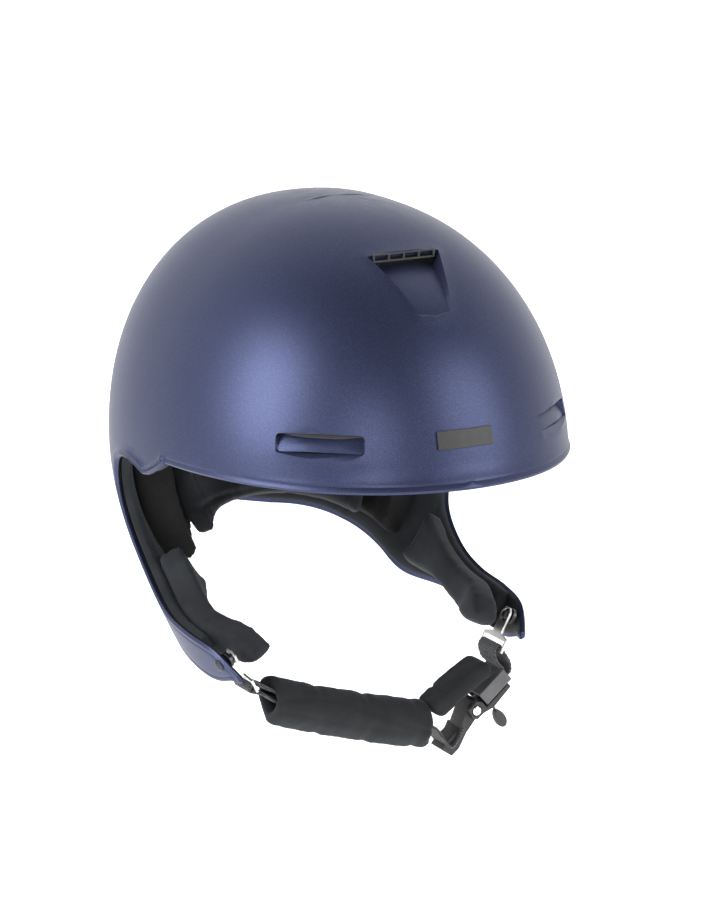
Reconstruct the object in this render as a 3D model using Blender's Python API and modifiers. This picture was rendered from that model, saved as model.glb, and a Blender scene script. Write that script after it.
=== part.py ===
"""Water helmet: painted shell with moulded ear flaps, foam liner, pads and a chin strap with a pull-tab buckle.

The axes are +X to the wearer's left, -Y forward and +Z up. Heights in this file are measured from the brow
datum, and the whole helmet hangs from an empty that lowers it by SEAT_HEIGHT, so that the origin is the
point on the crown pad where the top of the head rests.
"""

import math

import bmesh
import bpy
from mathutils import Matrix, Vector

# Dome: half width, reach in front and behind, and crown height above the brow datum.
HALF_WIDTH = 0.106
FRONT_LENGTH = 0.1337
BACK_LENGTH = 0.1227
CROWN_HEIGHT = 0.1448
PLAN_POWER = 2.167
FRONT_POWER = 2.144
SIDE_POWER = 2.048
BACK_POWER = 2.384
FRONT_WIDEST = 0.0061
SIDE_WIDEST = 0.0236
FRONT_TUCK = 0.176
BACK_TUCK = 0.120
TUCK_FROM = 0.080
TUCK_TO = -0.033
SKIRT_HEIGHT = -0.088

# Walls and gaps.
SHELL_WALL = 0.0030
GAP = 0.0004
FACET_GAP = 0.0012
LINER_WALL = 0.0185
PAD_WALL = 0.0070
NAPE_PAD_WALL = 0.0100
FLAP_LINER_WALL = 0.0040
EAR_PAD_WALL = 0.0125
HANGER_POCKET = 0.0048
SCREEN_WALL = 0.0015

# Brim: outward flare at the front edge, its height there and how far round it runs.
FLARE = 0.0070
FLARE_TOP = 0.0380
FLARE_BOTTOM = 0.0265
FLARE_SPAN = math.radians(80)
FLARE_FALL = 0.0110

# Shell edge, as (y, height): brim, ear arch and flap front, then the flap's lower edge round to the nape.
BRIM_EDGE = [(-0.160, 0.0278), (-0.115, 0.0272), (-0.060, 0.0264), (-0.022, 0.0256)]
ARCH_EDGE = [(-0.0155, 0.0212), (-0.0030, 0.0159), (0.0080, 0.0178), (0.0200, 0.0190), (0.0350, 0.0145),
             (0.0430, 0.0000), (0.0440, -0.0140), (0.0385, -0.0340), (0.0226, -0.0500), (0.0040, -0.0585),
             (-0.0200, -0.0620), (-0.0400, -0.0655), (-0.0545, -0.0755)]
LOWER_EDGE = [(-0.0475, -0.0800), (-0.0300, -0.0838), (0.0000, -0.0780), (0.0200, -0.0720), (0.0400, -0.0675),
              (0.0600, -0.0575), (0.0800, -0.0480), (0.1000, -0.0400), (0.1200, -0.0360), (0.1500, -0.0350)]

# Vents: two slots beside the brow and a scoop near the crown.
SLOT_ANGLE = math.radians(32.2)
SLOT_HALF_SPAN = math.radians(10.0)
SLOT_BOTTOM = 0.0452
SLOT_TOP = 0.0543
SCOOP_REAR_HALF = 0.0195
SCOOP_FRONT_HALF = 0.0092
SCOOP_REAR = -0.0665
SCOOP_FRONT = -0.0985
SCOOP_DEPTH = 0.0075
GRILLE_BARS = 4
BADGE_HALF_SPAN = math.radians(6.6)
BADGE_BOTTOM = 0.0465
BADGE_TOP = 0.0550
BADGE_WALL = 0.0008

# Head seat: the underside of the crown pad.
SEAT_HEIGHT = CROWN_HEIGHT - SHELL_WALL - LINER_WALL - PAD_WALL - 2 * FACET_GAP

# Strap, hung from a rivet in each flap tip.
STRAP_Y = -0.0410
RIVET_HEIGHT = -0.0725
RIVET_LEAD = 0.0016
RIVET_HEAD_RADIUS = 0.0034
RIVET_SHANK_RADIUS = 0.0020
WASHER_WALL = 0.0020
WASHER_RADIUS = 0.0040
HANGER_WALL = 0.0012
HANGER_DROP = 0.0175
HANGER_CLEARANCE = 0.0018
WEBBING_WIDTH = 0.0160
WEBBING_WALL = 0.0014
WEBBING_PLAY = 0.0009
SLEEVE_HEIGHT = 0.0205
SLEEVE_WALL = 0.0017
SLEEVE_WIDTH = WEBBING_WIDTH + 2 * WEBBING_PLAY + 2 * SLEEVE_WALL


def clamp(value):
    return min(max(value, 0.0), 1.0)


def smooth(value):
    share = clamp(value)
    return share * share * (3 - 2 * share)


# Shapes of the dome.

def plan_radius(theta):
    """Distance from the middle to the dome's widest line, seen from above."""
    length = FRONT_LENGTH if math.sin(theta) < 0 else BACK_LENGTH
    across = (abs(math.cos(theta)) / HALF_WIDTH) ** PLAN_POWER
    along = (abs(math.sin(theta)) / length) ** PLAN_POWER
    return (across + along) ** (-1 / PLAN_POWER)


def front_share(theta):
    return max(-math.sin(theta), 0.0) ** 2


def back_share(theta):
    return max(math.sin(theta), 0.0) ** 2


def widest_height(theta):
    front = front_share(theta)
    return FRONT_WIDEST * front + SIDE_WIDEST * (1 - front)


def dome_power(theta):
    front = front_share(theta)
    back = back_share(theta)
    return FRONT_POWER * front + BACK_POWER * back + SIDE_POWER * (1 - front - back)


def tuck_length(theta):
    """How far down the wall would close, which sets how fast it tucks in below the widest line."""
    reach = plan_radius(theta) * math.sin(theta)
    return BACK_TUCK + (FRONT_TUCK - BACK_TUCK) * smooth((TUCK_FROM - reach) / (TUCK_FROM - TUCK_TO))


def level_of(theta, height):
    """Level of a height: 1 at the crown, 0 at the widest line, -1 at the skirt."""
    widest = widest_height(theta)
    if height < widest:
        return (height - widest) / (widest - SKIRT_HEIGHT)
    share = clamp((height - widest) / (CROWN_HEIGHT - widest))
    return math.asin(share ** (dome_power(theta) / 2)) / (math.pi / 2)


def outside(theta, level):
    """Point of the plain outer surface, before the brim's flare."""
    widest = widest_height(theta)
    if level >= 0:
        power = 2 / dome_power(theta)
        share = max(math.cos(level * math.pi / 2), 0.0) ** power
        height = widest + (CROWN_HEIGHT - widest) * math.sin(level * math.pi / 2) ** power
    else:
        height = widest + level * (widest - SKIRT_HEIGHT)
        share = math.sqrt(1 - ((widest - height) / tuck_length(theta)) ** 2)
    radius = plan_radius(theta) * share
    return Vector((radius * math.cos(theta), radius * math.sin(theta), height))


def outward(theta, level):
    """Unit normal of the plain outer surface."""
    if level > 0.985:
        return Vector((0, 0, 1))
    step = 1e-3
    round_way = outside(theta + step, level) - outside(theta - step, level)
    up_way = outside(theta, level + step) - outside(theta, level - step)
    return round_way.cross(up_way).normalized()


def at_depth(theta, level, depth):
    """Point under the outer surface, measured square to it."""
    return outside(theta, level) - outward(theta, level) * depth


def flare(theta, height):
    """How far the brim's edge stands out from the plain surface."""
    turn = abs((theta + 1.5 * math.pi) % (2 * math.pi) - math.pi)
    reach = FLARE * clamp(1 - turn / FLARE_SPAN) ** 1.6
    top = FLARE_TOP - FLARE_FALL * clamp(turn / FLARE_SPAN)
    return reach * clamp((top - height) / (top - FLARE_BOTTOM + 0.002)) ** 1.4


def theta_at(y, height, side):
    """Direction in which the outer surface at this height reaches this y, on one side of the helmet."""
    low = -math.pi / 2
    high = math.pi / 2
    for _ in range(40):
        middle = (low + high) / 2
        if outside(middle, level_of(middle, height)).y < y:
            low = middle
        else:
            high = middle
    return low if side > 0 else math.pi - low


def beside(y, height, side, depth):
    """Point of one side wall at a given y and height, set in by a depth."""
    theta = theta_at(y, height, side)
    return at_depth(theta, level_of(theta, height), depth)


# Curves through chosen points.

def through(points, share):
    """Point at a share of the way along a smooth curve through the points."""
    spans = len(points) - 1
    place = clamp(share) * spans
    first = min(int(place), spans - 1)
    t = place - first
    a = Vector(points[max(first - 1, 0)])
    b = Vector(points[first])
    c = Vector(points[first + 1])
    d = Vector(points[min(first + 2, spans)])
    return 0.5 * (2 * b + (c - a) * t + (2 * a - 5 * b + 4 * c - d) * t * t + (3 * b - 3 * c + d - a) * t ** 3)


def smooth_line(points, count):
    return [through(points, step / count) for step in range(count + 1)]


def lower_edge_height(y):
    """Height of the shell's lower edge at a given y."""
    line = smooth_line(LOWER_EDGE, 60)
    for before, after in zip(line, line[1:]):
        if before.x <= y <= after.x:
            return before.y + (after.y - before.y) * (y - before.x) / (after.x - before.x)
    return line[-1].y if y > line[-1].x else line[0].y


# Scene helpers.

def clear_scene():
    for old in list(bpy.data.objects):
        bpy.data.objects.remove(old, do_unlink=True)


def new_collection(name):
    group = bpy.data.collections.new(name)
    bpy.context.scene.collection.children.link(group)
    return group


def new_empty(name, parent=None, place=(0, 0, 0)):
    empty = bpy.data.objects.new(name, None)
    PARTS.objects.link(empty)
    empty.parent = parent
    empty.location = place
    return empty


def material(name, colour, roughness, metallic=0.0):
    made = bpy.data.materials.new(name)
    made.use_nodes = True
    shader = made.node_tree.nodes["Principled BSDF"]
    shader.inputs["Base Color"].default_value = (*colour, 1)
    shader.inputs["Roughness"].default_value = roughness
    shader.inputs["Metallic"].default_value = metallic
    return made


def new_piece(name, mesh, finish, body):
    piece = bpy.data.objects.new(name, mesh)
    if finish:
        PARTS.objects.link(piece)
        mesh.materials.clear()
        mesh.materials.append(finish)
        mesh.shade_smooth()
        mesh.set_sharp_from_angle(angle=math.radians(35))
    else:
        CUTTERS.objects.link(piece)
        piece.hide_render = True
        piece.display_type = "WIRE"
    piece.parent = body
    if body and body is not HELMET:
        piece.matrix_parent_inverse = Matrix.Translation(-body.location)
    return piece


def finish_mesh(name, work):
    bmesh.ops.remove_doubles(work, verts=work.verts, dist=1e-6)
    mesh = bpy.data.meshes.new(name)
    work.to_mesh(mesh)
    work.free()
    return mesh


def sheet(name, columns, rows, place):
    """Open sheet whose grid shares (0 to 1 each way) are placed by a function."""
    work = bmesh.new()
    bmesh.ops.create_grid(work, x_segments=columns, y_segments=rows, size=0.5)
    for vert in work.verts:
        vert.co = place(vert.co.x + 0.5, vert.co.y + 0.5)
    return finish_mesh(name, work)


def thicken(piece, wall):
    solid = piece.modifiers.new("Wall", "SOLIDIFY")
    solid.thickness = wall
    solid.offset = -1
    solid.use_even_offset = True
    return piece


def cut(piece, *cutters):
    for cutter in cutters:
        taken = piece.modifiers.new("Cut " + cutter.name, "BOOLEAN")
        taken.operation = "DIFFERENCE"
        taken.object = cutter


# Planes that flat outlines are drawn in, as matrices from the outline's x and y to the helmet's axes.
SIDE_PLANE = Matrix(((0, 0, 1, 0), (1, 0, 0, 0), (0, 1, 0, 0), (0, 0, 0, 1)))
FRONT_PLANE = Matrix(((1, 0, 0, 0), (0, 0, -1, 0), (0, 1, 0, 0), (0, 0, 0, 1)))


def prism(name, outline, width, turn, finish, body):
    """Flat outline given a width, half to each side of its plane."""
    curve = bpy.data.curves.new(name, "CURVE")
    curve.dimensions = "2D"
    curve.fill_mode = "BOTH"
    curve.extrude = width / 2
    spline = curve.splines.new("POLY")
    spline.points.add(len(outline) - 1)
    for point, spot in zip(spline.points, outline):
        point.co = (spot[0], spot[1], 0, 1)
    spline.use_cyclic_u = True
    mesh = solid_of(name, curve)
    mesh.transform(turn)
    return new_piece(name, mesh, finish, body)


def solid_of(name, curve):
    """Mesh of a curve, with its caps welded on and its faces turned outward."""
    holder = bpy.data.objects.new(name + "_curve", curve)
    bpy.context.scene.collection.objects.link(holder)
    bpy.context.view_layer.update()
    graph = bpy.context.evaluated_depsgraph_get()
    mesh = bpy.data.meshes.new_from_object(holder.evaluated_get(graph))
    bpy.data.objects.remove(holder, do_unlink=True)
    work = bmesh.new()
    work.from_mesh(mesh)
    bmesh.ops.remove_doubles(work, verts=work.verts, dist=1e-6)
    bmesh.ops.recalc_face_normals(work, faces=work.faces)
    work.to_mesh(mesh)
    work.free()
    return mesh


def rod(name, points, radius, finish, body, smooth_count=0):
    """Round bar or cord along points."""
    curve = bpy.data.curves.new(name, "CURVE")
    curve.dimensions = "3D"
    curve.bevel_depth = radius
    curve.bevel_resolution = 2
    curve.use_fill_caps = True
    path = smooth_line(points, smooth_count) if smooth_count else points
    spline = curve.splines.new("POLY")
    spline.points.add(len(path) - 1)
    for point, spot in zip(spline.points, path):
        point.co = (*spot, 1)
    return new_piece(name, solid_of(name, curve), finish, body)


def turned(name, profile, place, direction, finish, body, steps=20):
    """Turned piece: its profile is (radius, height) along a direction, outer side, top to bottom."""
    mesh = bpy.data.meshes.new(name)
    work = bmesh.new()
    previous = None
    for radius, height in profile:
        vert = work.verts.new((radius, 0, height))
        if previous:
            work.edges.new((previous, vert))
        previous = vert
    work.to_mesh(mesh)
    work.free()
    piece = new_piece(name, mesh, finish, body)
    piece.location = place
    piece.rotation_euler = Vector(direction).to_track_quat("Z", "X").to_euler()
    screw = piece.modifiers.new("Turn", "SCREW")
    screw.steps = steps
    screw.render_steps = steps
    screw.use_merge_vertices = True
    screw.merge_threshold = 1e-5
    return piece


# Shell, liner and vents.

def ring_place(depth, level_from, level_to):
    """Placing function for a sheet right round the helmet, between two levels."""
    def place(u, v):
        theta = -math.pi / 2 + 2 * math.pi * u
        return at_depth(theta, level_from + (level_to - level_from) * v, depth)
    return place


def shell_place(u, v):
    theta = -math.pi / 2 + 2 * math.pi * u
    level = -1 + 2 * v
    spot = at_depth(theta, level, 0)
    return spot + outward(theta, level) * flare(theta, spot.z)


def rim_cutter():
    """Everything below the shell's edge, cut right through from side to side."""
    edge = [Vector(spot) for spot in BRIM_EDGE] + smooth_line(ARCH_EDGE, 30) + smooth_line(LOWER_EDGE, 16)
    below = SKIRT_HEIGHT - 0.02
    outline = edge + [Vector((edge[-1].x, below)), Vector((edge[0].x, below))]
    return prism("rim_cutter", outline, 2 * HALF_WIDTH + 0.05, SIDE_PLANE, None, HELMET)


def patch(name, theta_range, height_range, depth, wall, finish, columns=10, rows=4, body=None):
    """Solid that follows the shell inside a range of directions and heights."""
    low, high = height_range

    def place(u, v):
        theta = theta_range[0] + (theta_range[1] - theta_range[0]) * u
        bottom = low(theta) if callable(low) else low
        top = high(theta) if callable(high) else high
        return at_depth(theta, level_of(theta, bottom + (top - bottom) * v), depth)

    piece = new_piece(name, sheet(name, columns, rows, place), finish, body or HELMET)
    return thicken(piece, wall)


def slot_range(side):
    middle = -math.pi / 2 + side * SLOT_ANGLE
    return middle - SLOT_HALF_SPAN, middle + SLOT_HALF_SPAN


def slot_cutter(side, name):
    return patch(name, slot_range(side), (SLOT_BOTTOM, SLOT_TOP), -0.004, SHELL_WALL + 0.0075, None, 8, 2)


def scoop_place(depth, margin):
    """Placing function for the scoop's tapered outline, grown by a margin."""
    def place(u, v):
        y = SCOOP_FRONT - margin + (SCOOP_REAR - SCOOP_FRONT + 2 * margin) * v
        half = SCOOP_FRONT_HALF + (SCOOP_REAR_HALF - SCOOP_FRONT_HALF) * v + margin
        x = half * (2 * u - 1)
        theta = math.atan2(y, x)
        flat = math.hypot(x, y)
        low = 0.0
        high = 1.0
        for _ in range(30):
            middle = (low + high) / 2
            spot = outside(theta, middle)
            if math.hypot(spot.x, spot.y) > flat:
                low = middle
            else:
                high = middle
        return at_depth(theta, low, depth(v) if callable(depth) else depth)
    return place


def scoop_solid(name, depth, wall, margin, finish, columns=6, rows=6):
    piece = new_piece(name, sheet(name, columns, rows, scoop_place(depth, margin)), finish, HELMET)
    return thicken(piece, wall)


def scoop_floor_depth(v):
    return SCOOP_DEPTH * smooth(v) + 0.0012


def build_shell():
    mesh = sheet("outer_shell", 44, 22, shell_place)
    shell = thicken(new_piece("outer_shell", mesh, PAINT, HELMET), SHELL_WALL)
    scoop_hole = scoop_solid("scoop_hole", -0.004, SHELL_WALL + 0.008, 0.0, None, 4, 4)
    cut(shell, rim_cutter(), slot_cutter(1, "slot_hole_left"), slot_cutter(-1, "slot_hole_right"), scoop_hole)


def build_vents():
    floor = scoop_solid("vent_scoop", scoop_floor_depth, 0.0012, -GAP, PAINT)
    for side, word in ((1, "left"), (-1, "right")):
        patch("slot_screen_" + word, slot_range(side), (SLOT_BOTTOM - 0.001, SLOT_TOP + 0.001),
              SHELL_WALL + FACET_GAP, SCREEN_WALL, BLACK_PLASTIC, 8, 2)
    build_grille()


def build_grille():
    """Upright grille across the scoop's rear mouth: two rails joined by bars."""
    half = SCOOP_REAR_HALF - 0.0025
    rear = scoop_place(0.0, 0.0)(0.5, 1.0)
    base = rear.z - SCOOP_DEPTH + 0.0030
    frame = [(-half, 0), (half, 0), (half, 0.0042), (-half, 0.0042)]
    piece = prism("vent_grille", frame, 0.0010, FRONT_PLANE, BLACK_PLASTIC, HELMET)
    piece.location = (0, rear.y - 0.0012, base)
    width = (2 * half - (GRILLE_BARS + 1) * 0.0012) / GRILLE_BARS
    for bar in range(GRILLE_BARS):
        left = -half + 0.0012 + bar * (width + 0.0012)
        hole = [(left, 0.001), (left + width, 0.001), (left + width, 0.0032), (left, 0.0032)]
        cutter = prism("grille_hole_%d" % bar, hole, 0.004, FRONT_PLANE, None, HELMET)
        cutter.location = piece.location
        cut(piece, cutter)


def liner_edge(theta):
    """Lower edge of the foam liner: above the brim and arch, and down over the nape behind them."""
    reach = plan_radius(theta) * math.sin(theta)
    nape = lower_edge_height(outside(theta, -0.7).y) + 0.0080
    return 0.0330 + (nape - 0.0330) * smooth((reach - 0.0500) / 0.0100)


def build_liner():
    def place(u, v):
        theta = -math.pi / 2 + 2 * math.pi * u
        bottom = level_of(theta, liner_edge(theta))
        return at_depth(theta, bottom + (1 - bottom) * v, SHELL_WALL + FACET_GAP)

    liner = thicken(new_piece("impact_liner", sheet("impact_liner", 40, 12, place), FOAM, HELMET), LINER_WALL)
    channel = scoop_solid("vent_channel", -0.002, SHELL_WALL + LINER_WALL + 0.014, 0.0015, None, 2, 2)
    screens = [patch("screen_room_" + word, slot_range(side), (SLOT_BOTTOM - 0.002, SLOT_TOP + 0.002),
                     0.0, SHELL_WALL + FACET_GAP + SCREEN_WALL + 2 * GAP, None, 8, 2)
               for side, word in ((1, "left"), (-1, "right"))]
    cut(liner, channel, *screens)


def build_badge():
    patch("front_badge", (-math.pi / 2 - BADGE_HALF_SPAN, -math.pi / 2 + BADGE_HALF_SPAN),
          (BADGE_BOTTOM, BADGE_TOP), -BADGE_WALL - 0.0003, BADGE_WALL, STEEL, 6, 2)


# Pads and flap linings.

PAD_DEPTH = SHELL_WALL + LINER_WALL + 2 * FACET_GAP
BROW_HALF_SPAN = math.radians(62)
BROW_RANGE = (0.0350, 0.0640)
SIDE_PAD_SPAN = (math.radians(-24), math.radians(26))
SIDE_PAD_RANGE = (0.0345, 0.0620)
CROWN_PAD_LEVEL = 0.79
NAPE_PAD_SPAN = (math.radians(47), math.radians(133))
NAPE_PAD_TOP = 0.0200
NAPE_PAD_MARGIN = 0.0015
FLAP_UPPER = (0.60, 0.985)
FLAP_LOWER = (0.445, 0.015)
FLAP_MARGIN = 0.0018
FLAP_LINER_END = 0.62


def nape_bottom(theta):
    return lower_edge_height(outside(theta, -0.7).y) + NAPE_PAD_MARGIN


def flap_place(side, depth, end=1.0, margin=FLAP_MARGIN, pocketed=False):
    """Placing function along a flap from root to tip, set in further where the strap hanger swings."""
    def place(u, v):
        along = (1 - u if side > 0 else u) * end
        upper = through(ARCH_EDGE, FLAP_UPPER[0] + (FLAP_UPPER[1] - FLAP_UPPER[0]) * along)
        lower = through(LOWER_EDGE, FLAP_LOWER[0] + (FLAP_LOWER[1] - FLAP_LOWER[0]) * along)
        inset = margin / (upper - lower).length
        spot = lower + (upper - lower) * (inset + (1 - 2 * inset) * v)
        pocket = HANGER_POCKET * smooth((along - 0.55) / 0.25) if pocketed else 0.0
        return beside(spot.x, spot.y, side, depth + pocket)
    return place


def build_pads():
    front = -math.pi / 2
    patch("brow_pad", (front - BROW_HALF_SPAN, front + BROW_HALF_SPAN), BROW_RANGE, PAD_DEPTH, PAD_WALL,
          FABRIC, 16, 3)
    patch("side_pad_left", SIDE_PAD_SPAN, SIDE_PAD_RANGE, PAD_DEPTH, PAD_WALL, FABRIC, 8, 3)
    patch("side_pad_right", (math.pi - SIDE_PAD_SPAN[1], math.pi - SIDE_PAD_SPAN[0]), SIDE_PAD_RANGE,
          PAD_DEPTH, PAD_WALL, FABRIC, 8, 3)
    patch("nape_pad", NAPE_PAD_SPAN, (nape_bottom, NAPE_PAD_TOP), PAD_DEPTH, NAPE_PAD_WALL, FABRIC, 14, 5)
    crown = sheet("crown_pad", 20, 3, ring_place(PAD_DEPTH + GAP, CROWN_PAD_LEVEL, 1.0))
    thicken(new_piece("crown_pad", crown, FABRIC, HELMET), PAD_WALL)


def build_flaps():
    liner_depth = SHELL_WALL + FACET_GAP
    pad_depth = liner_depth + FLAP_LINER_WALL + FACET_GAP
    for side, word in ((1, "left"), (-1, "right")):
        liner = sheet("flap_liner_" + word, 9, 3, flap_place(side, liner_depth, FLAP_LINER_END))
        thicken(new_piece("flap_liner_" + word, liner, FOAM, HELMET), FLAP_LINER_WALL)
        pad = sheet("ear_pad_" + word, 12, 3, flap_place(side, pad_depth, pocketed=True))
        thicken(new_piece("ear_pad_" + word, pad, FABRIC, HELMET), EAR_PAD_WALL)


# Strap hangers, each on a rivet through the flap's tip.

HANGER_TILT = math.radians(27.5)
HANGER_INSET = SHELL_WALL + WASHER_WALL + 2 * GAP + HANGER_CLEARANCE
NECK_HALF = 0.0040
SLOT_HALF = WEBBING_WIDTH / 2 + 0.0012
LOOP_HALF = SLOT_HALF + 0.0016
SLOT_GAP = 0.0038
BAR_TALL = 0.0022


def rivet_spot(side, depth=0.0):
    return beside(STRAP_Y - RIVET_LEAD, RIVET_HEIGHT, side, depth)


def rivet_way(side):
    theta = theta_at(STRAP_Y - RIVET_LEAD, RIVET_HEIGHT, side)
    return outward(theta, level_of(theta, RIVET_HEIGHT))


def hanger_frame(side):
    """Axes of a hanger plate: across, up and outward, from the point where the rivet meets it."""
    across = Vector((0, side, 0))
    up = Vector((side * math.sin(HANGER_TILT), 0, math.cos(HANGER_TILT)))
    out = across.cross(up)
    middle = rivet_spot(side, HANGER_INSET + HANGER_WALL / 2)
    middle.y = STRAP_Y
    turn = Matrix((across, up, out)).transposed().to_4x4()
    return Matrix.Translation(middle) @ turn


def bar_spot(side):
    """Middle of the bar that the webbing turns round."""
    return hanger_frame(side) @ Vector((0, -HANGER_DROP, 0))


def build_rivet(side, word):
    way = rivet_way(side)
    reach = HANGER_INSET + HANGER_WALL + 0.0008
    head = [(0.0, 0.0022), (0.0016, 0.0020), (0.0028, 0.0012), (RIVET_HEAD_RADIUS, 2 * GAP),
            (RIVET_SHANK_RADIUS, 2 * GAP), (RIVET_SHANK_RADIUS, -reach), (0.0, -reach)]
    rivet = turned("strap_rivet_" + word, head, rivet_spot(side), way, DARK_METAL, HELMET)
    eye = RIVET_SHANK_RADIUS + GAP
    ring = [(WASHER_RADIUS, 0.0), (WASHER_RADIUS, -WASHER_WALL), (eye, -WASHER_WALL), (eye, 0.0),
            (WASHER_RADIUS, 0.0)]
    turned("rivet_washer_" + word, ring, rivet_spot(side, SHELL_WALL + 2 * GAP), way, STEEL, HELMET)
    return rivet


def rivet_hole(side, word):
    """Cutter for the rivet's way through the shell and the hanger."""
    radius = RIVET_SHANK_RADIUS + GAP
    profile = [(0.0, 0.004), (radius, 0.004), (radius, -0.0155), (0.0, -0.0155)]
    return turned("rivet_hole_" + word, profile, rivet_spot(side), rivet_way(side), None, HELMET)


def build_hanger(side, word, body):
    low = -HANGER_DROP - BAR_TALL / 2
    slot_low = -HANGER_DROP + BAR_TALL / 2
    shoulder = slot_low + SLOT_GAP
    outline = [(-LOOP_HALF, low), (LOOP_HALF, low), (LOOP_HALF, shoulder + 0.0012), (NECK_HALF, shoulder + 0.003),
               (NECK_HALF, 0.0015), (0.0020, NECK_HALF), (-0.0020, NECK_HALF), (-NECK_HALF, 0.0015),
               (-NECK_HALF, shoulder + 0.003), (-LOOP_HALF, shoulder + 0.0012)]
    frame = hanger_frame(side)
    plate = prism("strap_hanger_" + word, outline, HANGER_WALL, frame, STEEL, body)
    slot = [(-SLOT_HALF, slot_low), (SLOT_HALF, slot_low), (SLOT_HALF, shoulder), (-SLOT_HALF, shoulder)]
    cutter = prism("hanger_slot_" + word, slot, 4 * HANGER_WALL, frame, None, body)
    eye = [(0.0033 * math.cos(turn), 0.0033 * math.sin(turn))
           for turn in (2 * math.pi * step / 16 for step in range(16))]
    hole = prism("hanger_eye_" + word, eye, 4 * HANGER_WALL, frame, None, body)
    cut(plate, cutter, hole)


# Webbing and pads in the strap's own plane, as (x, height).

def band(path, wall):
    """Outline of a strip of even thickness along a path."""
    left = []
    right = []
    for index, spot in enumerate(path):
        before = path[max(index - 1, 0)]
        after = path[min(index + 1, len(path) - 1)]
        way = (after - before).normalized()
        side = Vector((-way.y, way.x)) * wall / 2
        left.append(spot + side)
        right.append(spot - side)
    return left + right[::-1]


def flat(spot):
    return Vector((spot.x, spot.z))


def loop_path(bar, way, layer_gap):
    """Turn round a bar, from the far side of the strap that leaves along a direction, back to its near side."""
    radius = BAR_TALL / 2 + layer_gap + WEBBING_WALL / 2
    side = Vector((-way.y, way.x))
    turns = (math.pi * step / 8 for step in range(9))
    return [bar - (side * math.cos(turn) + way * math.sin(turn)) * radius for turn in turns]


def strap_prism(name, outline, width, finish, body):
    piece = prism(name, outline, width, FRONT_PLANE, finish, body)
    piece.data.transform(Matrix.Translation((0, STRAP_Y, 0)))
    return piece


# Buckle, drawn from its pin: along its length towards the left flap, and outward, away from the chin.

PIN_FROM_BAR = (-0.012842, -0.029892)
BUCKLE_RISE = math.radians(40.5)
BUCKLE_WIDTH = 0.0172
PIN_RADIUS = 0.0024
HOUSING_START = 0.0062
HOUSING_END = 0.0245
HOUSING_IN = -0.0052
HOUSING_OUT = 0.0026
HOUSING_WALL = 0.0018
BASE_WALL = 0.0030
BASE_END = 0.0215
CHEEK_WALL = 0.0026
EYE_WALL = 0.0014
FOOT_FROM_BAR = (-0.025442, -0.047392)
TAIL_OFFSET = Vector((-0.0025, 0.0063))
ARM_WALL = 0.0046
SLIDER_ALONG = 0.0100
SLIDER_HALF = 0.0022
SLIDER_WIDTH = 0.0060
CORD_RADIUS = 0.0007
CORD_LENGTH = 0.0036
TAB_LENGTH = 0.0110
TAB_WIDTH = 0.0066
TAB_WALL = 0.0034
PULL_WAY = Vector((0.51, -0.86)).normalized()
SLEEVE_FROM_RIGHT_BAR = [(0.011442, -0.007892), (0.041442, -0.017892)]
SLEEVE_FROM_LEFT_BAR = [(-0.066442, -0.027092), (-0.038442, -0.033892)]
BACKING_FROM_BAR = [(-0.033942, -0.026892), (-0.026442, -0.021092), (-0.016442, -0.014392),
                    (-0.006942, -0.009392)]


def off_bar(side, step):
    """Point in the strap's plane, as (x, height), a fixed step from the bar on that side."""
    bar = bar_spot(side)
    return Vector((bar.x + step[0], bar.z + step[1]))


PIN_SPOT = off_bar(1, PIN_FROM_BAR)
FOOT_SPOT = off_bar(1, FOOT_FROM_BAR)
SLEEVE_PATH = [off_bar(-1, step) for step in SLEEVE_FROM_RIGHT_BAR]
SLEEVE_PATH += [off_bar(1, step) for step in SLEEVE_FROM_LEFT_BAR]
BACKING_PATH = [off_bar(1, step) for step in BACKING_FROM_BAR]
BACKING_WALL = 0.0048
BACKING_WIDTH = 0.0176


def buckle(along, out):
    """Point of the buckle, given along its length and outward from the pin."""
    length = Vector((math.cos(BUCKLE_RISE), math.sin(BUCKLE_RISE)))
    outer = Vector((length.y, -length.x))
    return PIN_SPOT + length * along + outer * out


def buckle_box(start, end, inner, outer):
    return [buckle(start, inner), buckle(end, inner), buckle(end, outer), buckle(start, outer)]


def round_outline(middle, radius, first=0.0, last=2 * math.pi, steps=14):
    """Points round a centre in the strap's plane, without repeating the first."""
    turns = (first + (last - first) * step / steps for step in range(steps))
    return [middle + Vector((math.cos(turn), math.sin(turn))) * radius for turn in turns]


def build_sleeve(body):
    def place(u, v):
        middle = through(SLEEVE_PATH, v)
        turn = 2 * math.pi * u
        pinch = 1 - 0.55 * max(-math.sin(turn), 0.0) ** 2
        across = SLEEVE_WIDTH / 2 * math.cos(turn) * pinch
        return Vector((middle.x, STRAP_Y + across, middle.y + SLEEVE_HEIGHT / 2 * math.sin(turn)))

    mesh = sheet("chin_sleeve", 20, 9, place)
    thicken(new_piece("chin_sleeve", mesh, FABRIC, body), SLEEVE_WALL)


def build_right_webbing(body):
    """Webbing from the right hanger, doubled at its loop, through the sleeve to the buckle's foot."""
    bar = flat(bar_spot(-1))
    mouth = Vector(SLEEVE_PATH[0]) + Vector((0, 0.0010))
    way = (mouth - bar).normalized()
    loop = loop_path(bar, way, WEBBING_PLAY)
    rise = Vector((0, WEBBING_WALL + GAP / 2))
    main = [through(SLEEVE_PATH, share) - Vector((0, 0.0013)) for share in (0.97, 0.66, 0.33, 0.02)]
    back = [main[3] + rise * 1.05, main[2] + rise * 1.05]
    tail = [FOOT_SPOT + TAIL_OFFSET, Vector(SLEEVE_PATH[-1]) + Vector((0.0030, -0.0020))]
    path = tail + main + loop + back
    strap_prism("webbing_right", band(path, WEBBING_WALL), WEBBING_WIDTH, WEBBING, body)


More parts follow.
